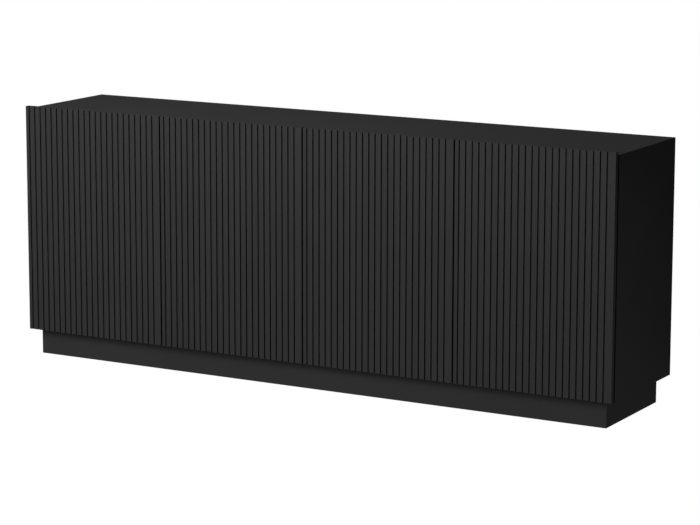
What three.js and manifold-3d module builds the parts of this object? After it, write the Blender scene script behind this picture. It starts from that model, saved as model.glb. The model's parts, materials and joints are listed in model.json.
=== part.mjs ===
// A long, low sideboard: four grooved doors on concealed hinges, in front of a carcass of flat
// boards that stands on a recessed plinth.
//
// Millimetres. +Z is up, the doors face -Y and +X is to the right of someone who faces them. The
// origin is on the floor, under the middle of the whole sideboard.

import * as THREE from "three";
import { mergeVertices } from "three/addons/utils/BufferGeometryUtils.js";
import Module from "manifold-3d";

const wasm = await Module();
wasm.setup();

// ---------------------------------------------------------------- driving dimensions

const WIDTH = 2000;
const CARCASS_DEPTH = 400;
const CARCASS_HEIGHT = 700;
const BOARD = 16;
const FIT = 0.3; // gap between two pieces that touch
const CUP_SIDES = 24; // flats around the hinge cups and their holes
const PIN_SIDES = 10; // flats around pins, eyes and their holes

const PLINTH_HEIGHT = 80;
const PLINTH_SIDE_INSET = 29.5;
const PLINTH_FRONT_INSET = 12;
const PLINTH_BACK_INSET = 30;
const PLINTH_BRACES = 3;

const DOORS = 4;
const DOOR_THICKNESS = 16;
const DOOR_AIR = 2; // between the doors and the front edges of the carcass
const DOOR_GAP = 5.2; // between two doors
const DOOR_LIFT = 0.7; // bottom of the doors above the bottom of the carcass
const DOOR_RISE = 8.5; // top of the doors above the top panel

const GROOVES = 23;
const GROOVE_WIDTH = 4.5;
const GROOVE_DEPTH = 4;
const FIRST_SLAT = 11.1; // the narrow slat at the left edge of every door
const LAST_SLAT = 22.7; // the wide slat at the right edge

const BACK_THICKNESS = 5;
const BACK_TONGUE = 6; // how far the back panels enter their grooves
const BACK_INSET = 10; // from the back panels to the back edge of the boards

const SHELF_AIR = 1.5; // at a shelf's ends and back
const SHELF_FRONT_INSET = 66; // keeps the shelves behind the hinge arms
const SHELF_HEIGHT = 330; // underside of the shelves above the bottom panel
const PIN_PITCH = 32;
const PIN_HOLES = 3; // in each column, with the pin in the middle one
const PIN_HOLE_RADIUS = 2.5;
const PIN_HOLE_DEPTH = 7;
const PIN_RADIUS = 2.2;
const PIN_COLLAR = 1;
const PIN_COLLAR_RADIUS = 4.5;
const PIN_REACH = 9; // how far a pin reaches under its shelf
const PIN_EDGE = 45; // from a shelf's front and back edges to its pins

const HINGE_END = 95; // from the inside of the carcass to a door's hinges
const CUP_RADIUS = 17.5;
const CUP_EDGE = 5; // wood left between a door's edge and its cups
const CUP_DEPTH = 11.4;
const CUP_WALL = 1;
const CUP_FLANGE = 1.2;
const CUP_FLANGE_LENGTH = 60;
const CUP_FLANGE_WIDTH = 16;
const LINK_HEIGHT = 8;
const LINK_THICKNESS = 2.4;
const LINK_EYE = 2.2;
const PIVOT_RADIUS = 1.1;
const PIVOT_HOLE_RADIUS = 1.4;
const CHEEK = 1.6; // sheet beside a link, on the arm and in the cup
const ARM_LENGTH = 60;
const ARM_DEPTH = 7;
const ARM_EYE = 3.6;
const MOUNT_PLATE = 4;
const MOUNT_PLATE_HEIGHT = 50;
const MOUNT_PLATE_LENGTH = 30;

// The hinge's pivots, seen from above: X from the door's hinged edge towards its free edge, and Y
// from the carcass's front edge towards its back.
const ARM_PIVOT = [31, 2];
const LINK_ELBOW = [20, -10.4];
const CUP_PIVOT = [11.6, -5.4];

const LATCH_EDGE = 40; // from a door's free edge to its latch
const LATCH_WIDTH = 20;
const LATCH_HEIGHT = 14;
const LATCH_LENGTH = 76;
const LATCH_SETBACK = 1;
const PLUNGER_RADIUS = 4;
const PLUNGER_TIP = 1.5;
const PLUNGER_BORE_RADIUS = 4.4;
const PLUNGER_INSERTION = 34;
const PLUNGER_BORE_DEPTH = 40;

// ---------------------------------------------------------------- levels and faces

const HALF_WIDTH = WIDTH / 2;
const DEPTH = CARCASS_DEPTH + DOOR_AIR + DOOR_THICKNESS;
const BACK = DEPTH / 2;
const FRONT = BACK - CARCASS_DEPTH;
const DOOR_BACK = FRONT - DOOR_AIR;
const DOOR_FRONT = DOOR_BACK - DOOR_THICKNESS;

const BOTTOM = PLINTH_HEIGHT;
const BAY_BOTTOM = BOTTOM + BOARD;
const TOP = BOTTOM + CARCASS_HEIGHT;
const BAY_TOP = TOP - BOARD;

const DOOR_MODULE = WIDTH / DOORS;
const DOOR_WIDTH = DOOR_MODULE - DOOR_GAP;
const DOOR_BOTTOM = BOTTOM + DOOR_LIFT;
const DOOR_TOP = TOP + DOOR_RISE;

const BACK_PANEL_BACK = BACK - BACK_INSET;
const BACK_PANEL_FRONT = BACK_PANEL_BACK - BACK_THICKNESS;
const SHELF_BOTTOM = BAY_BOTTOM + SHELF_HEIGHT;
const SHELF_FRONT = FRONT + SHELF_FRONT_INSET;
const SHELF_BACK = BACK_PANEL_FRONT - SHELF_AIR;
const PIN_COLUMNS = [SHELF_FRONT + PIN_EDGE, SHELF_BACK - PIN_EDGE];
const PIN_LEVEL = SHELF_BOTTOM - FIT - PIN_RADIUS;
const PIN_END = FIT - PIN_HOLE_DEPTH; // of a pin's shank, measured out from the panel's face

// The two bays, between the inner faces of a side panel and the partition.
const BAYS = [
  { name: "left", x0: -HALF_WIDTH + BOARD, x1: -BOARD / 2 },
  { name: "right", x0: BOARD / 2, x1: HALF_WIDTH - BOARD },
];

// ---------------------------------------------------------------- materials

const LACQUERED_BOARD = { color: 0x1e1e1e, roughness: 0.6, metalness: 0 };
const GROOVED_BOARD = { color: 0x222222, roughness: 0.62, metalness: 0 };
const THIN_BOARD = { color: 0x191919, roughness: 0.8, metalness: 0 };
const NICKEL = { color: 0xa8a8a6, roughness: 0.32, metalness: 1 };
const DARK_PLASTIC = { color: 0x2a2a2b, roughness: 0.5, metalness: 0 };
const PALE_PLASTIC = { color: 0x8b8c8c, roughness: 0.45, metalness: 0 };

// ---------------------------------------------------------------- solids

// A closed geometry as a manifold-3d solid.
function solid(geometry) {
  const bare = geometry.clone();
  bare.deleteAttribute("normal");
  bare.deleteAttribute("uv");
  const merged = mergeVertices(bare, 1e-4);
  return new wasm.Manifold(
    new wasm.Mesh({
      numProp: 3,
      vertProperties: new Float32Array(merged.attributes.position.array),
      triVerts: new Uint32Array(merged.index.array),
    }),
  );
}

// A manifold-3d solid as a geometry with flat faces.
function geometryOf(body) {
  const mesh = body.getMesh();
  const geometry = new THREE.BufferGeometry();
  geometry.setAttribute("position", new THREE.BufferAttribute(mesh.vertProperties, 3));
  geometry.setIndex(new THREE.BufferAttribute(mesh.triVerts, 1));
  const flat = geometry.toNonIndexed();
  flat.computeVertexNormals();
  return flat;
}

function cut(geometry, cutters) {
  const whole = solid(geometry);
  return geometryOf(cutters.reduce((body, cutter) => body.subtract(solid(cutter)), whole));
}

function join(first, ...others) {
  return geometryOf(others.reduce((body, other) => body.add(solid(other)), solid(first)));
}

// A box between two opposite corners.
function box([x0, y0, z0], [x1, y1, z1]) {
  const geometry = new THREE.BoxGeometry(x1 - x0, y1 - y0, z1 - z0);
  return geometry.translate((x0 + x1) / 2, (y0 + y1) / 2, (z0 + z1) / 2);
}

// A round bar along one axis, between two values of that coordinate.
function bar(axis, radius, from, to, [u, v] = [0, 0], segments = PIN_SIDES) {
  const geometry = new THREE.CylinderGeometry(radius, radius, to - from, segments);
  const middle = (from + to) / 2;
  if (axis === "x") return geometry.rotateZ(Math.PI / 2).translate(middle, u, v);
  if (axis === "y") return geometry.translate(u, middle, v);
  return geometry.rotateX(Math.PI / 2).translate(u, v, middle);
}

// An outline in X and Y, extruded along Z from z0 to z1.
function extrudeUp(outline, z0, z1) {
  const shape = new THREE.Shape(outline.map(([x, y]) => new THREE.Vector2(x, y)));
  const geometry = new THREE.ExtrudeGeometry(shape, { depth: z1 - z0, bevelEnabled: false });
  return geometry.translate(0, 0, z0);
}

// An outline in X and Z, extruded along Y from y0 to y1.
function extrudeBack(outline, y0, y1) {
  const shape = new THREE.Shape(outline.map(([x, z]) => new THREE.Vector2(x, -z)));
  const geometry = new THREE.ExtrudeGeometry(shape, { depth: y1 - y0, bevelEnabled: false });
  return geometry.rotateX(-Math.PI / 2).translate(0, y0, 0);
}

// ---------------------------------------------------------------- the scene graph

const sideboard = new THREE.Group();

function add(name, geometry, finish, parent = sideboard) {
  const mesh = new THREE.Mesh(geometry, new THREE.MeshStandardMaterial(finish));
  mesh.name = name;
  parent.add(mesh);
  return mesh;
}

// ---------------------------------------------------------------- carcass

// The back panel of a bay, grown by a margin for the grooves that hold it.
function backPanel(bay, margin = 0) {
  const reach = BACK_TONGUE - FIT + margin;
  return box(
    [bay.x0 - reach, BACK_PANEL_FRONT - margin, BAY_BOTTOM - reach],
    [bay.x1 + reach, BACK_PANEL_BACK + margin, BAY_TOP + reach],
  );
}

const backGrooves = BAYS.map((bay) => backPanel(bay, FIT));

// Rows of holes for the shelf pins, in the face at x; towards is +1 where the wood is on the +X side.
function pinHoles(x, towards) {
  const ends = [x - towards, x + towards * PIN_HOLE_DEPTH].sort((a, b) => a - b);
  const holes = [];
  for (const y of PIN_COLUMNS) {
    for (let row = 0; row < PIN_HOLES; row += 1) {
      const z = PIN_LEVEL + (row - (PIN_HOLES - 1) / 2) * PIN_PITCH;
      holes.push(bar("x", PIN_HOLE_RADIUS, ...ends, [y, z]));
    }
  }
  return holes;
}

function addCarcass() {
  const mitreGap = FIT * Math.SQRT2;
  const topOutline = [
    [-HALF_WIDTH, TOP],
    [-HALF_WIDTH + BOARD, BAY_TOP],
    [HALF_WIDTH - BOARD, BAY_TOP],
    [HALF_WIDTH, TOP],
  ];
  add("top_panel", cut(extrudeBack(topOutline, FRONT, BACK), backGrooves), LACQUERED_BOARD);
  add(
    "bottom_panel",
    cut(box([-HALF_WIDTH, FRONT, BOTTOM], [HALF_WIDTH, BACK, BAY_BOTTOM]), backGrooves),
    LACQUERED_BOARD,
  );
  for (const [name, side] of [["left", -1], ["right", 1]]) {
    const outline = [
      [side * HALF_WIDTH, BAY_BOTTOM + FIT],
      [side * HALF_WIDTH, TOP - mitreGap],
      [side * (HALF_WIDTH - BOARD), BAY_TOP - mitreGap],
      [side * (HALF_WIDTH - BOARD), BAY_BOTTOM + FIT],
    ];
    const holes = pinHoles(side * (HALF_WIDTH - BOARD), side);
    const panel = cut(extrudeBack(outline, FRONT, BACK), [...backGrooves, ...holes]);
    add(`${name}_side_panel`, panel, LACQUERED_BOARD);
  }
  const partition = box([-BOARD / 2, FRONT, BAY_BOTTOM + FIT], [BOARD / 2, BACK, BAY_TOP - FIT]);
  const partitionCuts = [...backGrooves, ...pinHoles(-BOARD / 2, 1), ...pinHoles(BOARD / 2, -1)];
  add("centre_partition", cut(partition, partitionCuts), LACQUERED_BOARD);
  for (const bay of BAYS) add(`${bay.name}_back_panel`, backPanel(bay), THIN_BOARD);
}

// ---------------------------------------------------------------- plinth

function addPlinth() {
  const x = HALF_WIDTH - PLINTH_SIDE_INSET;
  const front = FRONT + PLINTH_FRONT_INSET;
  const back = BACK - PLINTH_BACK_INSET;
  const top = BOTTOM - FIT;
  const rails = {
    plinth_front_rail: [[-x, front, 0], [x, front + BOARD, top]],
    plinth_back_rail: [[-x, back - BOARD, 0], [x, back, top]],
  };
  const between = [front + BOARD + FIT, back - BOARD - FIT];
  rails.plinth_left_rail = [[-x, between[0], 0], [-x + BOARD, between[1], top]];
  rails.plinth_right_rail = [[x - BOARD, between[0], 0], [x, between[1], top]];
  for (let i = 1; i <= PLINTH_BRACES; i += 1) {
    const middle = -x + (2 * x * i) / (PLINTH_BRACES + 1);
    rails[`plinth_brace_${i}`] = [
      [middle - BOARD / 2, between[0], 0],
      [middle + BOARD / 2, between[1], top],
    ];
  }
  for (const [name, corners] of Object.entries(rails)) add(name, box(...corners), LACQUERED_BOARD);
}

// ---------------------------------------------------------------- shelves and their pins

function shelfPin() {
  const profile = [
    [0, PIN_END],
    [PIN_RADIUS, PIN_END],
    [PIN_RADIUS, FIT],
    [PIN_COLLAR_RADIUS, FIT],
    [PIN_COLLAR_RADIUS, PIN_COLLAR + FIT],
    [PIN_RADIUS, PIN_COLLAR + FIT],
    [PIN_RADIUS, PIN_REACH],
    [0, PIN_REACH],
  ];
  return new THREE.LatheGeometry(profile.map(([r, y]) => new THREE.Vector2(r, y)), PIN_SIDES);
}

function addShelf(bay) {
  const shelf = box(
    [bay.x0 + SHELF_AIR, SHELF_FRONT, SHELF_BOTTOM],
    [bay.x1 - SHELF_AIR, SHELF_BACK, SHELF_BOTTOM + BOARD],
  );
  add(`${bay.name}_shelf`, shelf, LACQUERED_BOARD);
  for (const [end, x, direction] of [["left", bay.x0, 1], ["right", bay.x1, -1]]) {
    PIN_COLUMNS.forEach((y, column) => {
      const place = ["front", "back"][column];
      const pin = add(`${bay.name}_shelf_pin_${end}_${place}`, shelfPin(), NICKEL);
      pin.rotation.z = (-direction * Math.PI) / 2;
      pin.position.set(x, y, PIN_LEVEL);
    });
  }
}

// ---------------------------------------------------------------- doors

// The grooved front, seen from above, with X from the door's left edge.
function doorOutline() {
  const pitch = (DOOR_WIDTH - FIRST_SLAT - LAST_SLAT - GROOVE_WIDTH) / (GROOVES - 1);
  const outline = [[0, DOOR_BACK], [0, DOOR_FRONT]];
  for (let i = 0; i < GROOVES; i += 1) {
    const x = FIRST_SLAT + i * pitch;
    const floor = DOOR_FRONT + GROOVE_DEPTH;
    outline.push([x, DOOR_FRONT], [x, floor], [x + GROOVE_WIDTH, floor], [x + GROOVE_WIDTH, DOOR_FRONT]);
  }
  outline.push([DOOR_WIDTH, DOOR_FRONT], [DOOR_WIDTH, DOOR_BACK]);
  return outline;
}

const HINGE_LEVELS = { lower: BAY_BOTTOM + HINGE_END, upper: BAY_TOP - HINGE_END };
const CUP_CENTRE = CUP_EDGE + CUP_RADIUS;

function addDoor(index) {
  const left = -HALF_WIDTH + index * DOOR_MODULE + DOOR_GAP / 2;
  const right = left + DOOR_WIDTH;
  const hingedLeft = index % 2 === 0;
  const name = `door_${index + 1}`;
  const inward = hingedLeft ? 1 : -1;
  const hingedEdge = hingedLeft ? left : right;
  const freeEdge = hingedLeft ? right : left;

  const board = extrudeUp(doorOutline(), DOOR_BOTTOM, DOOR_TOP).translate(left, 0, 0);
  const cupX = hingedEdge + inward * CUP_CENTRE;
  const holeBase = DOOR_BACK - CUP_DEPTH - FIT;
  const cupHoles = Object.values(HINGE_LEVELS).map((z) =>
    bar("y", CUP_RADIUS + FIT, holeBase, DOOR_BACK + 1, [cupX, z], CUP_SIDES),
  );
  add(name, cut(board, cupHoles), GROOVED_BOARD);

  const isOuter = index === 0 || index === DOORS - 1;
  const overlay = isOuter ? BOARD - DOOR_GAP / 2 : (BOARD - DOOR_GAP) / 2;
  for (const [level, z] of Object.entries(HINGE_LEVELS)) {
    const hinge = new THREE.Group();
    hinge.position.set(hingedEdge, FRONT, z);
    hinge.scale.x = inward;
    sideboard.add(hinge);
    add(`${name}_${level}_hinge_cup`, hingeCup(), NICKEL, hinge);
    add(`${name}_${level}_hinge_link`, hingeLink(), NICKEL, hinge);
    add(`${name}_${level}_hinge_arm`, hingeArm(overlay), NICKEL, hinge);
  }
  addLatch(name, freeEdge - inward * LATCH_EDGE);
}

// ---------------------------------------------------------------- concealed hinge

// Each piece is drawn with X from the door's hinged edge, Y from the carcass's front edge and Z from
// the middle of the hinge.

const DOOR_FACE = -DOOR_AIR; // the door's back face in the hinge's own frame
const HALF_LINK = LINK_HEIGHT / 2;
const CHEEK_INSIDE = HALF_LINK + FIT;
const CHEEK_OUTSIDE = CHEEK_INSIDE + CHEEK;

// The drilled cup, with a flange on the door's back and two lugs that hold the link's pin.
function hingeCup() {
  const mouth = DOOR_FACE + FIT;
  const base = DOOR_FACE - CUP_DEPTH;
  const inside = CUP_RADIUS - CUP_WALL;
  const bowl = cut(bar("y", CUP_RADIUS, base, mouth + CUP_FLANGE, [CUP_CENTRE, 0], CUP_SIDES), [
    bar("y", inside, base + CUP_WALL, mouth + 2 * CUP_FLANGE, [CUP_CENTRE, 0], CUP_SIDES),
  ]);
  const flange = cut(
    box(
      [CUP_CENTRE - CUP_FLANGE_WIDTH / 2, mouth, -CUP_FLANGE_LENGTH / 2],
      [CUP_CENTRE + CUP_FLANGE_WIDTH / 2, mouth + CUP_FLANGE, CUP_FLANGE_LENGTH / 2],
    ),
    [bar("y", inside, base, mouth + 2 * CUP_FLANGE, [CUP_CENTRE, 0], CUP_SIDES)],
  );
  const [pinX, pinY] = CUP_PIVOT;
  const lugs = [-1, 1].map((side) => {
    const z = [side * CHEEK_INSIDE, side * CHEEK_OUTSIDE].sort((a, b) => a - b);
    return box(
      [CUP_CENTRE - inside + CUP_WALL / 2, base + CUP_WALL / 2, z[0]],
      [pinX + LINK_EYE + 1, pinY + LINK_EYE, z[1]],
    );
  });
  const pinHole = bar("z", PIVOT_HOLE_RADIUS, -CHEEK_OUTSIDE - 1, CHEEK_OUTSIDE + 1, [pinX, pinY]);
  return cut(join(bowl, flange, ...lugs), [pinHole]);
}

// A cranked link from the arm to the cup, with its two pins.
function hingeLink() {
  const points = [ARM_PIVOT, LINK_ELBOW, CUP_PIVOT].map(([x, y]) => new THREE.Vector2(x, y));
  const limbs = [[points[0], points[1]], [points[1], points[2]]].map(([from, to]) => {
    const length = from.distanceTo(to);
    const limb = box([0, -LINK_THICKNESS / 2, -HALF_LINK], [length, LINK_THICKNESS / 2, HALF_LINK]);
    limb.rotateZ(to.clone().sub(from).angle());
    return limb.translate(from.x, from.y, 0);
  });
  const elbow = bar("z", LINK_THICKNESS / 2, -HALF_LINK, HALF_LINK, LINK_ELBOW);
  const eyes = [ARM_PIVOT, CUP_PIVOT].map((at) => bar("z", LINK_EYE, -HALF_LINK, HALF_LINK, at));
  const pins = [ARM_PIVOT, CUP_PIVOT].map((at) =>
    bar("z", PIVOT_RADIUS, -CHEEK_OUTSIDE, CHEEK_OUTSIDE, at),
  );
  return join(...limbs, elbow, ...eyes, ...pins);
}

// The arm, forked around the link, on the plate that is screwed to the panel at x = overlay.
function hingeArm(overlay) {
  const [pinX, pinY] = ARM_PIVOT;
  const left = pinX - ARM_EYE;
  const right = pinX + ARM_EYE;
  const plateBack = ARM_LENGTH;
  const plateFront = plateBack - MOUNT_PLATE_LENGTH;
  const eye = bar("z", ARM_EYE, -CHEEK_OUTSIDE, CHEEK_OUTSIDE, ARM_PIVOT);
  const beam = box([left, pinY, -CHEEK_OUTSIDE], [right, plateBack, CHEEK_OUTSIDE]);
  const saddle = box([overlay + FIT, plateFront, -CHEEK_OUTSIDE], [right, plateBack, CHEEK_OUTSIDE]);
  const foot = box(
    [overlay + FIT, plateFront, -MOUNT_PLATE_HEIGHT / 2],
    [overlay + FIT + MOUNT_PLATE, plateBack, MOUNT_PLATE_HEIGHT / 2],
  );
  const slot = box(
    [left - LINK_EYE, pinY - 2 * ARM_EYE, -CHEEK_INSIDE],
    [right + LINK_EYE, pinY + ARM_EYE + ARM_DEPTH, CHEEK_INSIDE],
  );
  const pinHole = bar("z", PIVOT_HOLE_RADIUS, -CHEEK_OUTSIDE - 1, CHEEK_OUTSIDE + 1, ARM_PIVOT);
  return cut(join(eye, beam, saddle, foot), [slot, pinHole]);
}

// ---------------------------------------------------------------- push latch

// The housing hangs under the top panel and the plunger meets the back of the closed door.
function addLatch(doorName, x) {
  const front = FRONT + LATCH_SETBACK;
  const top = BAY_TOP - FIT;
  const z = top - LATCH_HEIGHT / 2;
  const body = box(
    [x - LATCH_WIDTH / 2, front, top - LATCH_HEIGHT],
    [x + LATCH_WIDTH / 2, front + LATCH_LENGTH, top],
  );
  const bore = bar("y", PLUNGER_BORE_RADIUS, front - 1, front + PLUNGER_BORE_DEPTH, [x, z]);
  add(`${doorName}_latch_housing`, cut(body, [bore]), DARK_PLASTIC);

  const tip = DOOR_BACK + FIT;
  const end = front + PLUNGER_INSERTION;
  const profile = [
    [0, tip],
    [PLUNGER_RADIUS - PLUNGER_TIP, tip],
    [PLUNGER_RADIUS, tip + PLUNGER_TIP],
    [PLUNGER_RADIUS, end],
    [0, end],
  ];
  const plunger = new THREE.LatheGeometry(profile.map(([r, y]) => new THREE.Vector2(r, y)), PIN_SIDES);
  add(`${doorName}_latch_plunger`, plunger.translate(x, 0, z), PALE_PLASTIC);
}

// ---------------------------------------------------------------- the whole sideboard

addCarcass();
addPlinth();
BAYS.forEach(addShelf);
for (let index = 0; index < DOORS; index += 1) addDoor(index);

export default sideboard;
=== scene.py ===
import json
import math

import bmesh
import bpy
from mathutils import Matrix, Vector


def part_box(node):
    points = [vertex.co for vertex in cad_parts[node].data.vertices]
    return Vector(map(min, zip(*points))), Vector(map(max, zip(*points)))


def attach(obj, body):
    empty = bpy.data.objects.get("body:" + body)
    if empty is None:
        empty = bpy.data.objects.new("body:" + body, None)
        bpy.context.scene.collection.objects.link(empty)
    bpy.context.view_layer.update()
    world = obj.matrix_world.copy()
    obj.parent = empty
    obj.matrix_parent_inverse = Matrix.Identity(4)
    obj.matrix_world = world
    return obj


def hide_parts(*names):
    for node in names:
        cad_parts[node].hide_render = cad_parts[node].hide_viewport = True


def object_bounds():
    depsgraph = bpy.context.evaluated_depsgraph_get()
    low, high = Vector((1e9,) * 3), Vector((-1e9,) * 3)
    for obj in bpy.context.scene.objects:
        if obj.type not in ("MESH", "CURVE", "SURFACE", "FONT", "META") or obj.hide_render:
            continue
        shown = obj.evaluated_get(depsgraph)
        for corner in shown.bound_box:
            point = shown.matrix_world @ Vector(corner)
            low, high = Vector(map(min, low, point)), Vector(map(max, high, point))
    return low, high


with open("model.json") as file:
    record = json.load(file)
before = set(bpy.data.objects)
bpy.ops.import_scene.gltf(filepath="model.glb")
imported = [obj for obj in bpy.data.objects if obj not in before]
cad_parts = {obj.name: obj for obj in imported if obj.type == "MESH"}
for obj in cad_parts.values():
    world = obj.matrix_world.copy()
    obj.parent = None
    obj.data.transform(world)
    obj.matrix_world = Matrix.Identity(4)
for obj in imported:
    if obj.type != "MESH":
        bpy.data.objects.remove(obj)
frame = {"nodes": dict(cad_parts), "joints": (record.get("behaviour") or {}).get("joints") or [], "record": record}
CAD_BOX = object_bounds()

# Everything is in metres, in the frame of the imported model: +Z up, the doors face -Y. The small
# parts are drawn in millimetres, each in a frame of its own, and scaled as they are placed.
MM = 0.001

DOORS = [f"door_{number}" for number in (1, 2, 3, 4)]
LEVELS = ("lower", "upper")


# ------------------------------------------------------------------ materials

CREASE_SHADE_REACH = 1.2 * MM  # painted shade: the lacquer is darkened this close to the next board


class Nodes:
    """A material's node tree, with short calls for the few kinds of node that are used here."""

    def __init__(self, name):
        self.material = bpy.data.materials.new(name)
        self.material.use_nodes = True
        self.tree = self.material.node_tree
        self.shader = self.tree.nodes["Principled BSDF"]
        self.place = self.new("ShaderNodeTexCoord").outputs["Object"]

    def new(self, kind, **settings):
        node = self.tree.nodes.new(kind)
        for key, value in settings.items():
            setattr(node, key, value)
        return node

    def link(self, source, target):
        self.tree.links.new(source, target)

    def stretched(self, factors):
        """The piece's own coordinates, scaled along each axis."""
        node = self.new("ShaderNodeMapping")
        self.link(self.place, node.inputs["Vector"])
        node.inputs["Scale"].default_value = factors
        return node.outputs["Vector"]

    def noise(self, scale, detail=3.0, rough=0.55, at=None):
        node = self.new("ShaderNodeTexNoise")
        self.link(at or self.place, node.inputs["Vector"])
        node.inputs["Scale"].default_value = scale
        node.inputs["Detail"].default_value = detail
        node.inputs["Roughness"].default_value = rough
        return node.outputs["Fac"]

    def spread(self, value, low, high, out_low, out_high):
        """value from low..high mapped to out_low..out_high, and held there outside."""
        node = self.new("ShaderNodeMapRange")
        self.link(value, node.inputs["Value"])
        node.inputs["From Min"].default_value = low
        node.inputs["From Max"].default_value = high
        node.inputs["To Min"].default_value = out_low
        node.inputs["To Max"].default_value = out_high
        return node.outputs["Result"]

    def mix(self, factor, first, second):
        """A blend of two colours, each of them RGB or the output of a node."""
        node = self.new("ShaderNodeMix", data_type="RGBA")
        self.link(factor, node.inputs["Factor"])
        for key, colour in (("A", first), ("B", second)):
            socket = [s for s in node.inputs if s.name == key and s.type == "RGBA"][0]
            if isinstance(colour, tuple):
                socket.default_value = (*colour, 1.0)
            else:
                self.link(colour, socket)
        return [s for s in node.outputs if s.type == "RGBA"][0]

    def math(self, operation, first, second):
        node = self.new("ShaderNodeMath", operation=operation)
        for socket, value in zip(node.inputs, (first, second)):
            if isinstance(value, (int, float)):
                socket.default_value = value
            else:
                self.link(value, socket)
        return node.outputs["Value"]

    def bump(self, height, strength, distance, below=None):
        node = self.new("ShaderNodeBump")
        self.link(height, node.inputs["Height"])
        node.inputs["Strength"].default_value = strength
        node.inputs["Distance"].default_value = distance
        if below is not None:
            self.link(below, node.inputs["Normal"])
        return node.outputs["Normal"]

    def edges(self, radius):
        """1 along sharp edges, broken up by noise, and 0 elsewhere."""
        bevel = self.new("ShaderNodeBevel", samples=4)
        bevel.inputs["Radius"].default_value = radius
        geometry = self.new("ShaderNodeNewGeometry")
        dot = self.new("ShaderNodeVectorMath", operation="DOT_PRODUCT")
        self.link(bevel.outputs["Normal"], dot.inputs[0])
        self.link(geometry.outputs["Normal"], dot.inputs[1])
        sharp = self.spread(dot.outputs["Value"], 0.995, 0.75, 0.0, 1.0)
        worn = self.spread(self.noise(60.0, 4.0), 0.42, 0.62, 0.15, 1.0)
        return self.math("MULTIPLY", sharp, worn)

    def finish(self, colour, roughness, normal, metallic=0.0, specular=0.5):
        self.link(colour, self.shader.inputs["Base Color"])
        self.link(roughness, self.shader.inputs["Roughness"])
        self.link(normal, self.shader.inputs["Normal"])
        self.shader.inputs["Metallic"].default_value = metallic
        self.shader.inputs["Specular IOR Level"].default_value = specular
        return self.material


def grey(level):
    return (level, level, level)


def lacquered_board(name, level, grain):
    """Matt black lacquer over fine-grained board; grain stretches the pores along the board."""
    n = Nodes(name)
    pores = n.noise(1.0, 3.0, 0.6, n.stretched(grain))
    peel = n.noise(900.0, 2.0)
    clouds = n.noise(3.0, 3.0)
    dust = n.spread(n.noise(260.0, 5.0, 0.7), 0.64, 0.76, 0.0, 1.0)
    # painted shade: an ambient occlusion mask darkens the lacquer in creases and seams between boards
    crease_shade_ao = n.new("ShaderNodeAmbientOcclusion", samples=4)
    crease_shade_ao.inputs["Distance"].default_value = CREASE_SHADE_REACH
    unshaded = n.spread(crease_shade_ao.outputs["AO"], 0.35, 0.9, 0.25, 1.0)

    body = n.mix(n.spread(clouds, 0.3, 0.7, 0.0, 1.0), grey(level * 0.95), grey(level * 1.05))
    body = n.mix(n.spread(pores, 0.35, 0.75, 0.0, 0.35), body, grey(level * 0.7))
    body = n.mix(n.math("MULTIPLY", dust, 0.06), body, grey(level * 2.2))
    body = n.mix(n.math("MULTIPLY", n.edges(0.9 * MM), 0.25), body, grey(level * 2.4))
    # the painted shade goes in here, blending the colour towards black where the occlusion mask is low
    colour = n.mix(unshaded, grey(0.0), body)

    roughness = n.math(
        "ADD",
        n.spread(clouds, 0.3, 0.7, 0.50, 0.56),
        n.spread(peel, 0.3, 0.7, -0.02, 0.02),
    )
    normal = n.bump(peel, 0.10, 0.05 * MM, n.bump(pores, 0.18, 0.05 * MM))
    return n.finish(colour, roughness, normal, specular=0.4)


def bare_steel(name, level, scratches):
    """Nickel-plated steel: satin, with fine scratches, stretched by their scales, and dull patches."""
    n = Nodes(name)
    lines = n.noise(1.0, 4.0, 0.7, n.stretched(scratches))
    patches = n.noise(90.0, 3.0)
    dull = (level * 0.84, level * 0.82, level * 0.78)
    colour = n.mix(n.spread(patches, 0.35, 0.7, 0.0, 1.0), grey(level), dull)
    shiny = grey(min(1.0, level * 1.35))
    colour = n.mix(n.math("MULTIPLY", n.edges(0.4 * MM), 0.4), colour, shiny)
    roughness = n.math(
        "ADD",
        n.spread(lines, 0.3, 0.7, 0.24, 0.36),
        n.spread(patches, 0.4, 0.7, 0.0, 0.10),
    )
    return n.finish(colour, roughness, n.bump(lines, 0.25, 0.02 * MM), metallic=1.0)


def moulded_plastic(name, level, roughness_low, roughness_high):
    """Moulded plastic or rubber with a fine spark-eroded texture."""
    n = Nodes(name)
    sparks = n.noise(2600.0, 2.0, 0.6)
    flow = n.noise(35.0, 3.0)
    colour = n.mix(n.spread(flow, 0.3, 0.7, 0.0, 1.0), grey(level * 0.92), grey(level * 1.08))
    worn = grey(min(1.0, level * 1.5))
    colour = n.mix(n.math("MULTIPLY", n.edges(0.5 * MM), 0.3), colour, worn)
    roughness = n.spread(sparks, 0.3, 0.7, roughness_low, roughness_high)
    return n.finish(colour, roughness, n.bump(sparks, 0.35, 0.03 * MM))


def hardboard(name, level):
    """Thin black-faced hardboard: flecks of fibre under a dull coat."""
    n = Nodes(name)
    fibres = n.noise(1.0, 4.0, 0.65, n.stretched((240.0, 240.0, 420.0)))
    clouds = n.noise(6.0, 3.0)
    body = n.mix(n.spread(clouds, 0.3, 0.7, 0.0, 1.0), grey(level * 0.88), grey(level * 1.1))
    fleck = (level * 2.4, level * 2.1, level * 1.8)
    colour = n.mix(n.spread(fibres, 0.55, 0.75, 0.0, 0.5), body, fleck)
    roughness = n.spread(fibres, 0.3, 0.7, 0.68, 0.82)
    return n.finish(colour, roughness, n.bump(fibres, 0.4, 0.08 * MM), specular=0.3)


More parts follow.
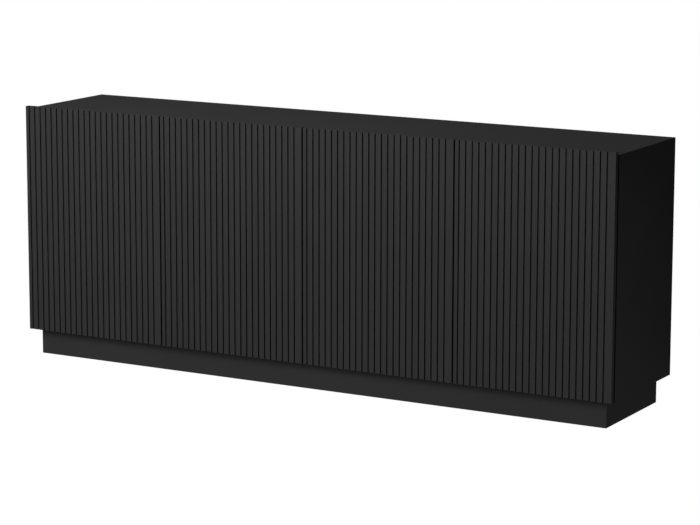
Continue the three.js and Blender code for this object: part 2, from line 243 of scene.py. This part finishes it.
MATERIALS = {
    "carcass_board": lacquered_board("carcass_board", 0.0225, (60.0, 900.0, 900.0)),
    "upright_board": lacquered_board("upright_board", 0.0225, (900.0, 900.0, 60.0)),
    "door_board": lacquered_board("door_board", 0.0235, (1100.0, 1100.0, 50.0)),
    "plinth_board": lacquered_board("plinth_board", 0.0225, (60.0, 900.0, 900.0)),
    "back_board": hardboard("back_board", 0.018),
    "hinge_steel": bare_steel("hinge_steel", 0.58, (900.0, 120.0, 900.0)),
    "screw_steel": bare_steel("screw_steel", 0.50, (500.0, 500.0, 500.0)),
    "pin_steel": bare_steel("pin_steel", 0.55, (120.0, 900.0, 900.0)),
    "latch_plastic": moulded_plastic("latch_plastic", 0.035, 0.42, 0.55),
    "plunger_plastic": moulded_plastic("plunger_plastic", 0.22, 0.35, 0.48),
    "bumper_rubber": moulded_plastic("bumper_rubber", 0.09, 0.55, 0.70),
}


def paint(obj, material):
    obj.data.materials.clear()
    obj.data.materials.append(MATERIALS[material])


def soften(obj, width):
    """A rounded arris of this width on every sharp edge, with smooth shading across it."""
    bevel = obj.modifiers.new("arris", "BEVEL")
    bevel.width = width
    bevel.segments = 2
    bevel.limit_method = "ANGLE"
    bevel.angle_limit = math.radians(40)
    bevel.harden_normals = True
    smooth(obj.data)


def smooth(mesh):
    for polygon in mesh.polygons:
        polygon.use_smooth = True


# ------------------------------------------------------------------ boards of the carcass

ARRIS = {  # how much the edges of each kind of board are broken
    "carcass_board": 0.7 * MM,
    "plinth_board": 0.7 * MM,
    "back_board": 0.7 * MM,
    "door_board": 0.2 * MM,  # less, for the edges of the grooves
}
UPRIGHT = ("left_side_panel", "right_side_panel", "centre_partition")


def finish_cad_nodes():
    """The boards stay as the CAD made them, with softened edges, and upright grain on the uprights."""
    slot_of = {part["node"]: part["material_slot"] for part in frame["record"]["subparts"]}
    for name, obj in frame["nodes"].items():
        slot = slot_of[name]
        paint(obj, "upright_board" if name in UPRIGHT else slot)
        if slot in ARRIS:
            soften(obj, ARRIS[slot])


# ------------------------------------------------------------------ mesh tools


def lathe(profile, segments=48, axis="z"):
    """A turned solid. The profile runs from the axis to the axis as (radius, height)."""
    bm = bmesh.new()
    turn = [2 * math.pi * i / segments for i in range(segments)]
    rings = []
    for radius, height in profile:
        if radius == 0:
            rings.append([bm.verts.new((0, 0, height))])
        else:
            circle = [(radius * math.cos(a), radius * math.sin(a), height) for a in turn]
            rings.append([bm.verts.new(point) for point in circle])
    for first, second in zip(rings, rings[1:]):
        for i in range(segments):
            j = (i + 1) % segments
            lower = (first[i % len(first)], first[j % len(first)])
            upper = (second[j % len(second)], second[i % len(second)])
            bm.faces.new(list(dict.fromkeys((*lower, *upper))))
    if axis == "y":
        bmesh.ops.rotate(bm, verts=bm.verts, matrix=Matrix.Rotation(-math.pi / 2, 3, "X"))
    if axis == "x":
        bmesh.ops.rotate(bm, verts=bm.verts, matrix=Matrix.Rotation(math.pi / 2, 3, "Y"))
    bmesh.ops.recalc_face_normals(bm, faces=bm.faces)
    return bm


def rod(radius, low, high, segments, axis="z"):
    return lathe([(0, low), (radius, low), (radius, high), (0, high)], segments, axis)


def prism(outline, low, high, plane="xy"):
    """An outline extruded from low to high, square to its plane."""
    place = {
        "xy": lambda u, v, w: (u, v, w),
        "xz": lambda u, v, w: (u, w, v),
        "yz": lambda u, v, w: (w, u, v),
    }[plane]
    bm = bmesh.new()
    lower = [bm.verts.new(place(u, v, low)) for u, v in outline]
    upper = [bm.verts.new(place(u, v, high)) for u, v in outline]
    bm.faces.new(lower)
    bm.faces.new(upper)
    for i in range(len(outline)):
        j = (i + 1) % len(outline)
        bm.faces.new((lower[i], lower[j], upper[j], upper[i]))
    bmesh.ops.recalc_face_normals(bm, faces=bm.faces)
    return bm


def block(low, high):
    outline = [(low[0], low[1]), (high[0], low[1]), (high[0], high[1]), (low[0], high[1])]
    return prism(outline, low[2], high[2])


def moved(bm, x=0.0, y=0.0, z=0.0):
    bmesh.ops.translate(bm, verts=bm.verts, vec=(x, y, z))
    return bm


def arc(centre, radius, start, end, steps):
    """Points on a circle, from one angle to another in degrees."""
    angles = [math.radians(start + (end - start) * i / steps) for i in range(steps + 1)]
    return [(centre[0] + radius * math.cos(a), centre[1] + radius * math.sin(a)) for a in angles]


def rounded(low, high, radius, steps=5):
    """A rectangle's outline with round corners."""
    (u0, v0), (u1, v1) = low, high
    return (
        arc((u1 - radius, v1 - radius), radius, 0, 90, steps)
        + arc((u0 + radius, v1 - radius), radius, 90, 180, steps)
        + arc((u0 + radius, v0 + radius), radius, 180, 270, steps)
        + arc((u1 - radius, v0 + radius), radius, 270, 360, steps)
    )


def band(points, half_width, steps=8):
    """The outline of a strip of even width along a bent line, with round ends."""
    line = [Vector(p) for p in points]
    normals = [(b - a).orthogonal().normalized() for a, b in zip(line, line[1:])]
    sides = []
    for sign in (1, -1):
        side = []
        for first, second, corner in zip(normals, normals[1:], line[1:-1]):
            mitre = (first + second).normalized()
            side.append(corner + mitre * (sign * half_width / mitre.dot(first)))
        sides.append([tuple(p) for p in side])
    start = math.degrees(math.atan2(normals[0].y, normals[0].x))
    end = math.degrees(math.atan2(normals[-1].y, normals[-1].x))
    near = arc(line[0], half_width, start + 180, start, steps)
    far = arc(line[-1], half_width, end, end - 180, steps)
    return near + sides[0] + far + sides[1][::-1]


def combined(first, others, operation):
    """One closed mesh from several, by an exact boolean."""
    scratch = []
    for bm in (first, *others):
        mesh = bpy.data.meshes.new("scratch")
        bm.to_mesh(mesh)
        bm.free()
        obj = bpy.data.objects.new("scratch", mesh)
        bpy.context.scene.collection.objects.link(obj)
        scratch.append(obj)
    base = scratch[0]
    for other in scratch[1:]:
        modifier = base.modifiers.new("boolean", "BOOLEAN")
        modifier.operation = operation
        modifier.solver = "EXACT"
        modifier.object = other
    bpy.context.view_layer.update()
    result = bmesh.new()
    result.from_mesh(base.evaluated_get(bpy.context.evaluated_depsgraph_get()).to_mesh())
    for obj in scratch:
        mesh = obj.data
        bpy.data.objects.remove(obj)
        bpy.data.meshes.remove(mesh)
    return result


def fused(first, *others):
    return combined(first, others, "UNION")


def carved(first, *others):
    return combined(first, others, "DIFFERENCE")


def gathered(shape, places):
    """Several copies of a shape in one mesh, at the given matrices."""
    whole = bmesh.new()
    for place in places:
        mesh = bpy.data.meshes.new("scratch")
        shape.to_mesh(mesh)
        mesh.transform(place)
        whole.from_mesh(mesh)
        bpy.data.meshes.remove(mesh)
    return whole


def place_piece(name, shape, matrix, material, body, edge=0.0, replaces=None):
    """Puts a copy of a shape in the scene, as a piece that rides on a body. edge is its arris."""
    mesh = bpy.data.meshes.new(name)
    shape.to_mesh(mesh)
    mesh.transform(matrix)
    if matrix.determinant() < 0:
        mesh.flip_normals()
    obj = bpy.data.objects.new(name, mesh)
    bpy.context.scene.collection.objects.link(obj)
    paint(obj, material)
    mesh.set_sharp_from_angle(angle=math.radians(35))
    smooth(mesh)
    if edge:
        soften(obj, edge)
    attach(obj, body)
    if replaces:
        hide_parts(replaces)


IN_MM = Matrix.Scale(MM, 4)
FACING_BACK = Matrix.Rotation(-math.pi / 2, 4, "X")
FACING_SIDE = Matrix.Rotation(math.pi / 2, 4, "Y")
FACING_DOWN = Matrix.Rotation(math.pi, 4, "X")
THROUGH = 40.0  # reach of a cutter that goes right through a small part, in mm
SCREW_SINK = 0.1  # of a screw's head in what it bears on, in mm


def box_in_mm(node):
    return [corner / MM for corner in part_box(node)]


def screw_head(radius, height):
    """A pan head with a cross recess, standing up from z = 0."""
    crown = [
        (radius * math.cos(a), height * (0.35 + 0.65 * math.sin(a)))
        for a in (0.0, 0.5, 0.9, 1.2)
    ]
    head = lathe([(0, 0), (radius, 0), *crown, (0, height)], 32)
    arm, half = 0.62 * radius, 0.15 * radius
    floor, above = 0.35 * height, 2 * height
    cross = fused(
        block((-arm, -half, floor), (arm, half, above)),
        block((-half, -arm, floor), (half, arm, above)),
    )
    return carved(head, cross)


# ------------------------------------------------------------------ concealed hinges

# Sizes in mm, in the hinge's own frame: X from the door's hinged edge into the opening, Y from
# the carcass's front edge to the back, Z from the hinge's middle.
LINK_HALF_HEIGHT = 4.0
LINK_HALF_THICKNESS = 1.35
LINK_ELBOW = (20.0, -10.4)
EYE_RADIUS = 2.1
PIN_RADIUS = 1.05
PIN_HALF_LENGTH = 5.8
LIGHTENING_RADIUS = 1.0  # of the hole half-way along the link's long arm

CHEEK_INSIDE = 4.3
CHEEK_OUTSIDE = 5.7
CHEEK_RADIUS = 2.4
CHEEK_NEAR_SIDE = 6.3
CHEEK_FOOT = 0.6  # above the bottom of the cup
RIVET_RADIUS = 1.5
RIVET_STAND = 0.6

RIM_DEPTH = 1.2  # of the CAD's cup, kept for the rim and the flange at the mouth
CUP_WALL = 1.0
FLANGE_THICKNESS = 0.9
FLANGE_WIDTH = 1.0
FLANGE_LAP = 0.7
EAR_RADIUS = 7.5
CUP_SCREW_HEIGHT = 22.0  # above and below the middle of the hinge

ARM_HALF_WIDTH = 5.9
ARM_CORNER = 3.0
PIN_HOLE_RADIUS = 1.4
PLATE_LENGTH = 30.0
PLATE_HALF_HEIGHT = 25.0
PLATE_THICKNESS = 2.6
PLATE_CORNER = 8.0
RIDGE_MARGIN = 5.0
RIDGE_HALF_HEIGHT = 21.0
RIDGE_THICKNESS = 4.0
RIDGE_CORNER = 6.0
SADDLE_INSET = 0.6
SADDLE_CORNER = 0.9
FORK_CUT = (9.0, 12.0, 10.6)  # past the arm's sides, and in front of and behind its pivot
SLOT_FRONT, SLOT_BACK = 22.0, 54.0  # the shallow slot along the arm
SLOT_HALF_WIDTH = 2.1
SLOT_CORNER = 2.0
SLOT_DEPTH = 1.0
PLATE_SCREW_HEIGHT = 15.0
ADJUSTERS = (27.0, 47.0)  # along the arm


class Hinge:
    """Where one hinge is, and the matrix from its own frame to the model's."""

    def __init__(self, door, level):
        self.name = f"{door}_{level}_hinge"
        self.door = door
        cup_low, cup_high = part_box(f"{self.name}_cup")
        door_low, door_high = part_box(door)
        middle = (cup_low + cup_high) / 2
        hinged_left = middle.x - door_low.x < door_high.x - middle.x
        self.inward = 1 if hinged_left else -1
        edge = door_low.x if hinged_left else door_high.x
        carcass_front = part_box("top_panel")[0].y
        place = Matrix.Translation((edge, carcass_front, middle.z))
        self.matrix = place @ Matrix.Diagonal((self.inward * MM, MM, MM, 1.0))
        self.arm_pivot = self.pivot("arm")
        self.cup_pivot = self.pivot("cup")
        self.cup_low, self.cup_high = self.local_box(f"{self.name}_cup")
        self.arm_low, self.arm_high = self.local_box(f"{self.name}_arm")

    def local(self, point):
        return self.matrix.inverted() @ Vector(point)

    def pivot(self, kind):
        name = f"{self.door}_{kind}_pivot"
        return self.local([joint["pos_m"] for joint in frame["joints"] if joint["name"] == name][0])

    def local_box(self, node):
        corners = [self.local(corner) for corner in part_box(node)]
        return Vector(map(min, *corners)), Vector(map(max, *corners))


def cup_bowl(radius, base, mouth):
    """The drilled cup: a rounded floor, and a rolled rim that laps over the door's face."""
    inside = radius - CUP_WALL
    outer_wall = [(radius - 2.0, base), (radius - 0.6, base + 0.6), (radius, base + 2.0), (radius, mouth)]
    rim = [
        (radius + 1.1, mouth),
        (radius + 1.3, mouth + 0.4),
        (radius + 0.9, mouth + 0.9),
        (radius - 0.5, mouth + 1.0),
        (inside, mouth + 0.4),
    ]
    floor = base + CUP_WALL
    inner_wall = [(inside, floor + 2.0), (inside - 0.6, floor + 0.6), (inside - 2.0, floor)]
    return lathe([(0, base), *outer_wall, *rim, *inner_wall, (0, floor)], 64, "y")


def cup_flange(radius, mouth):
    """A ring around the cup that swells into a round ear above and below, for the screws."""
    steps = 96
    outline = []
    for i in range(steps):
        angle = 2 * math.pi * i / steps
        across, along = math.cos(angle), math.sin(angle)
        reach = radius + FLANGE_WIDTH
        offset = CUP_SCREW_HEIGHT * abs(across)
        if offset < EAR_RADIUS:
            half_chord = math.sqrt(EAR_RADIUS**2 - offset**2)
            reach = max(reach, CUP_SCREW_HEIGHT * abs(along) + half_chord)
        outline.append((reach * across, reach * along))
    flange = prism(outline, mouth, mouth + FLANGE_THICKNESS, "xz")
    return carved(flange, rod(radius - FLANGE_LAP, -THROUGH, THROUGH, 64, "y"))


def cup_shape(hinge):
    """The cup with its flange, and the two cheeks and rivets that hold the link's pin."""
    radius = (hinge.cup_high.x - hinge.cup_low.x) / 2
    centre = (hinge.cup_high.x + hinge.cup_low.x) / 2
    base = hinge.cup_low.y
    mouth = hinge.cup_high.y - RIM_DEPTH
    pivot = hinge.cup_pivot
    body = moved(fused(cup_bowl(radius, base, mouth), cup_flange(radius, mouth)), x=centre)
    foot = base + CHEEK_FOOT
    outline = arc(pivot.xy, CHEEK_RADIUS, -90, 90, 10) + [
        (CHEEK_NEAR_SIDE, pivot.y + CHEEK_RADIUS),
        (CHEEK_NEAR_SIDE, foot),
        (pivot.x + CHEEK_RADIUS, foot),
    ]
    for side in (-1, 1):
        low, high = sorted((side * CHEEK_INSIDE, side * CHEEK_OUTSIDE))
        body = fused(body, prism(outline, low, high))
        rivet = rod(RIVET_RADIUS, low, high, 20)
        body = fused(body, moved(rivet, pivot.x, pivot.y, side * RIVET_STAND))
    return body


def link_shape(hinge):
    """The cranked link: an eye around a pin at each end, and a hole through its long arm."""
    ends = (hinge.arm_pivot.xy, hinge.cup_pivot.xy)
    outline = band([ends[0], LINK_ELBOW, ends[1]], LINK_HALF_THICKNESS)
    body = prism(outline, -LINK_HALF_HEIGHT, LINK_HALF_HEIGHT)
    for end in ends:
        eye = rod(EYE_RADIUS, -LINK_HALF_HEIGHT, LINK_HALF_HEIGHT, 24)
        pin = rod(PIN_RADIUS, -PIN_HALF_LENGTH, PIN_HALF_LENGTH, 20)
        body = fused(body, moved(eye, *end), moved(pin, *end))
    middle = (ends[0] + Vector(LINK_ELBOW)) / 2
    hole = rod(LIGHTENING_RADIUS, -THROUGH, THROUGH, 20)
    return carved(body, moved(hole, *middle))


def mounting_plate(hinge):
    """The plate on the side panel: a foot with round ears, and a raised ridge on it."""
    inner, back = hinge.arm_low.x, hinge.arm_high.y
    front = back - PLATE_LENGTH
    ears = rounded((front, -PLATE_HALF_HEIGHT), (back, PLATE_HALF_HEIGHT), PLATE_CORNER)
    raised = rounded(
        (front + RIDGE_MARGIN, -RIDGE_HALF_HEIGHT),
        (back - RIDGE_MARGIN, RIDGE_HALF_HEIGHT),
        RIDGE_CORNER,
    )
    foot = prism(ears, inner, inner + PLATE_THICKNESS, "yz")
    ridge = prism(raised, inner, inner + RIDGE_THICKNESS, "yz")
    return foot, ridge


def arm_shape(hinge):
    """The arm, forked around the link, on a saddle and its mounting plate."""
    low, high = hinge.arm_low, hinge.arm_high
    pivot = hinge.arm_pivot
    half = high.x - pivot.x
    near = pivot.x - half
    side = arc(pivot.xy, half, 180, 360, 14) + [
        (high.x, high.y - ARM_CORNER),
        (high.x - ARM_CORNER, high.y),
        (near, high.y),
    ]
    beam = prism(side, -ARM_HALF_WIDTH, ARM_HALF_WIDTH)
    saddle_side = rounded((low.x, high.y - PLATE_LENGTH), (near + 1.0, high.y), SADDLE_CORNER)
    saddle_half = ARM_HALF_WIDTH - SADDLE_INSET
    saddle = prism(saddle_side, -saddle_half, saddle_half)
    solid = fused(beam, saddle, *mounting_plate(hinge))

    beside, in_front, behind = FORK_CUT
    fork = block(
        (near - beside, pivot.y - in_front, -CHEEK_INSIDE),
        (high.x + beside, pivot.y + behind, CHEEK_INSIDE),
    )
    slot_outline = rounded((SLOT_FRONT, -SLOT_HALF_WIDTH), (SLOT_BACK, SLOT_HALF_WIDTH), SLOT_CORNER)
    slot = prism(slot_outline, high.x - SLOT_DEPTH, high.x + THROUGH, "yz")
    hole = moved(rod(PIN_HOLE_RADIUS, -THROUGH, THROUGH, 24), pivot.x, pivot.y)
    return carved(solid, fork, slot, hole)


def add_hinges():
    cup_screw = screw_head(3.4, 1.0)
    plate_screw = screw_head(3.6, 2.0)
    adjuster = screw_head(2.6, 1.2)
    for hinge in [Hinge(door, level) for door in DOORS for level in LEVELS]:
        links = f"{hinge.door}_links"
        pieces = (
            ("cup", cup_shape(hinge), hinge.door, 0.0),
            ("link", link_shape(hinge), links, 0.25 * MM),
            ("arm", arm_shape(hinge), "root", 0.35 * MM),
        )
        for part, shape, body, edge in pieces:
            node = f"{hinge.name}_{part}"
            place_piece(
                f"{node}_detailed", shape, hinge.matrix, "hinge_steel", body, edge, node
            )

        centre = (hinge.cup_high.x + hinge.cup_low.x) / 2
        flange_face = hinge.cup_high.y - RIM_DEPTH + FLANGE_THICKNESS
        plate_middle = hinge.arm_high.y - PLATE_LENGTH / 2
        ridge_face = hinge.arm_low.x + RIDGE_THICKNESS
        slot_floor = hinge.arm_high.x - SLOT_DEPTH
        on_flange = [
            Matrix.Translation((centre, flange_face - SCREW_SINK, z)) @ FACING_BACK
            for z in (-CUP_SCREW_HEIGHT, CUP_SCREW_HEIGHT)
        ]
        on_plate = [
            Matrix.Translation((ridge_face - SCREW_SINK, plate_middle, z)) @ FACING_SIDE
            for z in (-PLATE_SCREW_HEIGHT, PLATE_SCREW_HEIGHT)
        ]
        on_arm = [
            Matrix.Translation((slot_floor - SCREW_SINK, y, 0)) @ FACING_SIDE for y in ADJUSTERS
        ]
        screws = (
            ("cup_screws", cup_screw, on_flange, hinge.door, 0.1 * MM),
            ("plate_screws", plate_screw, on_plate, "root", 0.15 * MM),
            ("adjusting_screws", adjuster, on_arm, "root", 0.1 * MM),
        )
        for part, head, places, body, edge in screws:
            heads = gathered(head, places)
            name = f"{hinge.name}_{part}"
            place_piece(name, heads, hinge.matrix, "screw_steel", body, edge)


# ------------------------------------------------------------------ push latches

# Sizes in mm. A latch lies along Y under the top panel, with its plunger at the front.
BARREL_RADIUS = 6.4
COLLAR_RADIUS = 6.9
COLLAR_LENGTH = 5.0
BARREL_START, BARREL_END = 4.0, 3.0  # in from the front and the back of the housing
BARREL_TOP = 1.0  # below the top of the housing
BASE_THICKNESS = 2.2
BASE_CORNER = 4.0
RIBS = (22.0, 44.0)  # from the front of the housing
RIB_WIDTH = 1.6
RIB_INSET = 1.5
RIB_FOOT = 5.0
BORE_CLEARANCE = 0.4
BORE_DEPTH = 40.0
LATCH_SCREW_SIDE = 7.6
LATCH_SCREW_END = 12.0
TIP_DISH = 0.25
TIP_ROUND = 0.8
GROOVE_START, GROOVE_END, GROOVE_DEPTH = 8.0, 10.0, 0.4
STRIKE_RADIUS = 7.0
STRIKE_DEPTH = 1.0
STRIKE_PROUD = 0.18


def housing_shape(x, z, bore_radius, low, high):
    """A barrel with a thicker collar at the front, hung from a base plate with two ribs."""

    def under_top(radius):
        top = high.z - BARREL_TOP
        return [(x + radius, top), (x - radius, top)]

    barrel = arc((x, z), BARREL_RADIUS, 180, 360, 20) + under_top(BARREL_RADIUS)
    collar = arc((x, z), COLLAR_RADIUS, 180, 360, 24) + under_top(COLLAR_RADIUS)
    base = rounded((low.x, low.y), (high.x, high.y), BASE_CORNER)
    ribs = [
        block(
            (low.x + RIB_INSET, low.y + y, high.z - RIB_FOOT),
            (high.x - RIB_INSET, low.y + y + RIB_WIDTH, high.z - BARREL_TOP),
        )
        for y in RIBS
    ]
    solid = fused(
        prism(barrel, low.y + BARREL_START, high.y - BARREL_END, "xz"),
        prism(collar, low.y, low.y + COLLAR_LENGTH, "xz"),
        prism(base, high.z - BASE_THICKNESS, high.z),
        *ribs,
    )
    bore = rod(bore_radius, -BORE_DEPTH, BORE_DEPTH, 40, "y")
    return carved(solid, moved(bore, x, low.y, z))


def plunger_shape(radius, length):
    """A round pin with a dished, rounded tip at y = 0 and a shallow groove."""
    corner = arc((radius - TIP_ROUND, TIP_ROUND), TIP_ROUND, -90, 0, 5)
    neck = radius - GROOVE_DEPTH
    profile = [
        (0, TIP_DISH),
        (radius - 1.5, TIP_DISH),
        (radius - 1.4, 0),
        *corner,
        (radius, GROOVE_START),
        (neck, GROOVE_START + GROOVE_DEPTH),
        (neck, GROOVE_END - GROOVE_DEPTH),
        (radius, GROOVE_END),
        (radius, length),
        (0, length),
    ]
    return lathe(profile, 40, "y")


def strike_shape():
    """A disc let into the door's back, with a chamfered rim and a dimple in the middle."""
    profile = [
        (0, -STRIKE_DEPTH),
        (STRIKE_RADIUS - 0.5, -STRIKE_DEPTH),
        (STRIKE_RADIUS, -0.6),
        (STRIKE_RADIUS, 0.02),
        (STRIKE_RADIUS - 0.4, STRIKE_PROUD),
        (2.2, STRIKE_PROUD),
        (1.6, -0.1),
        (0, -0.1),
    ]
    return lathe(profile, 40, "y")


def add_latches():
    head = screw_head(1.736, 0.868)
    for door in DOORS:
        low, high = box_in_mm(f"{door}_latch_housing")
        tip, end = box_in_mm(f"{door}_latch_plunger")
        x, z = (low.x + high.x) / 2, (tip.z + end.z) / 2
        radius = (end.x - tip.x) / 2
        housing = housing_shape(x, z, radius + BORE_CLEARANCE, low, high)
        place_piece(
            f"{door}_latch_housing_detailed", housing, IN_MM, "latch_plastic",
            "root", 0.4 * MM, f"{door}_latch_housing",
        )
        heads = [
            Matrix.Translation((x + side, y, high.z - BASE_THICKNESS + SCREW_SINK)) @ FACING_DOWN
            for y in (low.y + LATCH_SCREW_END, high.y - LATCH_SCREW_END)
            for side in (-LATCH_SCREW_SIDE, LATCH_SCREW_SIDE)
        ]
        place_piece(
            f"{door}_latch_screws", gathered(head, heads), IN_MM, "screw_steel",
            "root", 0.08 * MM,
        )
        plunger = moved(plunger_shape(radius, end.y - tip.y), x, tip.y, z)
        place_piece(
            f"{door}_latch_plunger_detailed", plunger, IN_MM, "plunger_plastic",
            f"{door}_plunger", replaces=f"{door}_latch_plunger",
        )
        door_back = box_in_mm(door)[1].y
        strike = moved(strike_shape(), x, door_back, z)
        place_piece(f"{door}_strike_plate", strike, IN_MM, "hinge_steel", door)


# ------------------------------------------------------------------ bumpers and shelf pins

BUMPER_RADIUS = 4.0
BUMPER_FOOT = 0.3
BUMPER_CROWN = 1.3
BUMPER_FROM_EDGE = 14.0

PIN_SHANK_RADIUS = 2.2
PIN_COLLAR_RADIUS = 4.5
PIN_COLLAR_THICKNESS = 1.0
PIN_COLLAR_CHAMFER = 0.3
PIN_IN_HOLE = 7.0
PIN_HOLE_END_CHAMFER = 0.5
PIN_SHELF_END_CHAMFER = 0.6


def add_bumpers():
    """Soft domes on the back of each door, near its free edge, that meet the carcass's edges."""
    crown = [
        (BUMPER_RADIUS * math.cos(a), BUMPER_FOOT + BUMPER_CROWN * math.sin(a))
        for a in (0.0, 0.4, 0.8, 1.2)
    ]
    dome = [(0, 0), (BUMPER_RADIUS, 0), *crown, (0, BUMPER_FOOT + BUMPER_CROWN)]
    panels = [box_in_mm(panel) for panel in ("bottom_panel", "top_panel")]
    levels = [(low.z + high.z) / 2 for low, high in panels]
    for door in DOORS:
        low, high = box_in_mm(door)
        inward = Hinge(door, LEVELS[0]).inward
        free_edge = high.x if inward > 0 else low.x
        x = free_edge - inward * BUMPER_FROM_EDGE
        places = [Matrix.Translation((x, high.y, z)) @ FACING_BACK for z in levels]
        bumpers = gathered(lathe(dome, 32), places)
        place_piece(f"{door}_bumpers", bumpers, IN_MM, "bumper_rubber", door)


def shelf_pin_shape(length):
    """A turned pin along X: a shank in its hole, a collar against the panel, the rest free."""
    collar_end = PIN_IN_HOLE + PIN_COLLAR_THICKNESS
    shoulder = PIN_COLLAR_RADIUS - PIN_COLLAR_CHAMFER
    profile = [
        (0, 0),
        (PIN_SHANK_RADIUS - PIN_HOLE_END_CHAMFER, 0),
        (PIN_SHANK_RADIUS, PIN_HOLE_END_CHAMFER),
        (PIN_SHANK_RADIUS, PIN_IN_HOLE),
        (shoulder, PIN_IN_HOLE),
        (PIN_COLLAR_RADIUS, PIN_IN_HOLE + PIN_COLLAR_CHAMFER),
        (PIN_COLLAR_RADIUS, collar_end - PIN_COLLAR_CHAMFER),
        (shoulder, collar_end),
        (PIN_SHANK_RADIUS, collar_end),
        (PIN_SHANK_RADIUS, length - PIN_SHELF_END_CHAMFER),
        (PIN_SHANK_RADIUS - PIN_SHELF_END_CHAMFER, length),
        (0, length),
    ]
    return lathe(profile, 32, "x")


def add_shelf_pins():
    for name in [n for n in frame["nodes"] if "_shelf_pin_" in n]:
        low, high = box_in_mm(name)
        middle = (low + high) / 2
        from_left = "_pin_left_" in name
        start = low.x if from_left else high.x
        turn = Matrix.Rotation(0.0 if from_left else math.pi, 4, "Z")
        at = IN_MM @ Matrix.Translation((start, middle.y, middle.z)) @ turn
        pin = shelf_pin_shape(high.x - low.x)
        place_piece(f"{name}_turned", pin, at, "pin_steel", "root", replaces=name)


# ------------------------------------------------------------------ studio

CENTRE = (CAD_BOX[0] + CAD_BOX[1]) / 2
FLOOR_HALF_WIDTH = 60.0
FLOOR_LEVEL = -0.5 * MM
FLOOR_BOUNCE = 0.077
BOUNCE_REACH = 0.9

AZIMUTH = math.radians(30.0)
ELEVATION = math.radians(10.0)
CAMERA_DISTANCE = 8.0
AIM = Vector((-0.060, 0.0, 0.452))
FOCAL_LENGTH = 135.9
SENSOR_WIDTH = 36.0
SHIFT = (0.04277, -0.04851)


def bright_paper():
    """The white floor. It throws a little light back onto the sideboard, mostly from close by."""
    n = Nodes("bright_paper")
    split = n.new("ShaderNodeSeparateXYZ")
    n.link(n.place, split.inputs["Vector"])
    away_x = n.math("SUBTRACT", n.math("ABSOLUTE", split.outputs["X"], 0.0), CAD_BOX[1].x)
    away_y = n.math("SUBTRACT", n.math("ABSOLUTE", split.outputs["Y"], 0.0), CAD_BOX[1].y)
    away = n.math("MAXIMUM", away_x, away_y)
    path = n.new("ShaderNodeLightPath")
    strength = n.new("ShaderNodeMix", data_type="FLOAT")
    n.link(path.outputs["Is Camera Ray"], strength.inputs["Factor"])
    n.link(n.spread(away, 0.0, BOUNCE_REACH, FLOOR_BOUNCE, 0.0), strength.inputs["A"])
    strength.inputs["B"].default_value = 1.0
    glow = n.new("ShaderNodeEmission")
    n.link(strength.outputs["Result"], glow.inputs["Strength"])
    n.link(glow.outputs["Emission"], n.tree.nodes["Material Output"].inputs["Surface"])
    n.tree.nodes.remove(n.shader)
    return n.material


def add_floor():
    mesh = bpy.data.meshes.new("floor")
    signs = ((-1, -1), (1, -1), (1, 1), (-1, 1))
    corners = [(x * FLOOR_HALF_WIDTH, y * FLOOR_HALF_WIDTH, FLOOR_LEVEL) for x, y in signs]
    mesh.from_pydata(corners, [], [(0, 1, 2, 3)])
    floor = bpy.data.objects.new("floor", mesh)
    bpy.context.scene.collection.objects.link(floor)
    floor.data.materials.append(bright_paper())


def add_softbox(name, place, target, size, power):
    light = bpy.data.lights.new(name, "AREA")
    light.shape = "RECTANGLE"
    light.size, light.size_y = size
    light.energy = power
    obj = bpy.data.objects.new(name, light)
    obj.location = place
    obj.rotation_euler = (Vector(target) - Vector(place)).to_track_quat("-Z", "Y").to_euler()
    obj.visible_camera = False
    bpy.context.scene.collection.objects.link(obj)


def add_world(strength, seen):
    """An even white surround: strength lights the object, seen is what the camera sees."""
    world = bpy.data.worlds.new("studio")
    world.use_nodes = True
    bpy.context.scene.world = world
    tree = world.node_tree
    background = tree.nodes["Background"]
    background.inputs["Color"].default_value = (1.0, 1.0, 1.0, 1.0)
    path = tree.nodes.new("ShaderNodeLightPath")
    spread = tree.nodes.new("ShaderNodeMapRange")
    tree.links.new(path.outputs["Is Camera Ray"], spread.inputs["Value"])
    spread.inputs["To Min"].default_value = strength
    spread.inputs["To Max"].default_value = seen
    tree.links.new(spread.outputs["Result"], background.inputs["Strength"])


def add_camera():
    across = math.cos(ELEVATION)
    back = Vector((math.sin(AZIMUTH) * across, -math.cos(AZIMUTH) * across, math.sin(ELEVATION)))
    data = bpy.data.cameras.new("camera")
    data.sensor_width = SENSOR_WIDTH
    data.lens = FOCAL_LENGTH
    data.shift_x, data.shift_y = SHIFT
    data.clip_end = 500.0
    camera = bpy.data.objects.new("camera", data)
    camera.location = AIM + back * CAMERA_DISTANCE
    camera.rotation_euler = (-back).to_track_quat("-Z", "Y").to_euler()
    bpy.context.scene.collection.objects.link(camera)
    bpy.context.scene.camera = camera


def add_studio():
    add_floor()
    add_world(strength=0.049, seen=1.0)
    add_softbox("key", (-4.6, -5.6, 2.4), CENTRE, (4.0, 3.0), power=72.0)
    add_softbox("high_key", (-4.0, -5.0, 4.2), CENTRE, (4.0, 2.0), power=270.0)
    add_softbox("front", (-1.5, -7.0, 2.2), CENTRE, (4.0, 3.0), power=99.0)
    add_softbox("overhead", (-1.6, 0.3, 4.4), CENTRE, (4.0, 2.5), power=52.0)
    add_softbox("low_right", (2.1, 0.0, 0.18), (1.0, 0.0, 0.2), (1.2, 0.7), power=3.1)
    add_camera()
    bpy.context.scene.view_settings.view_transform = "Standard"


finish_cad_nodes()
add_hinges()
add_latches()
add_bumpers()
add_shelf_pins()
add_studio()
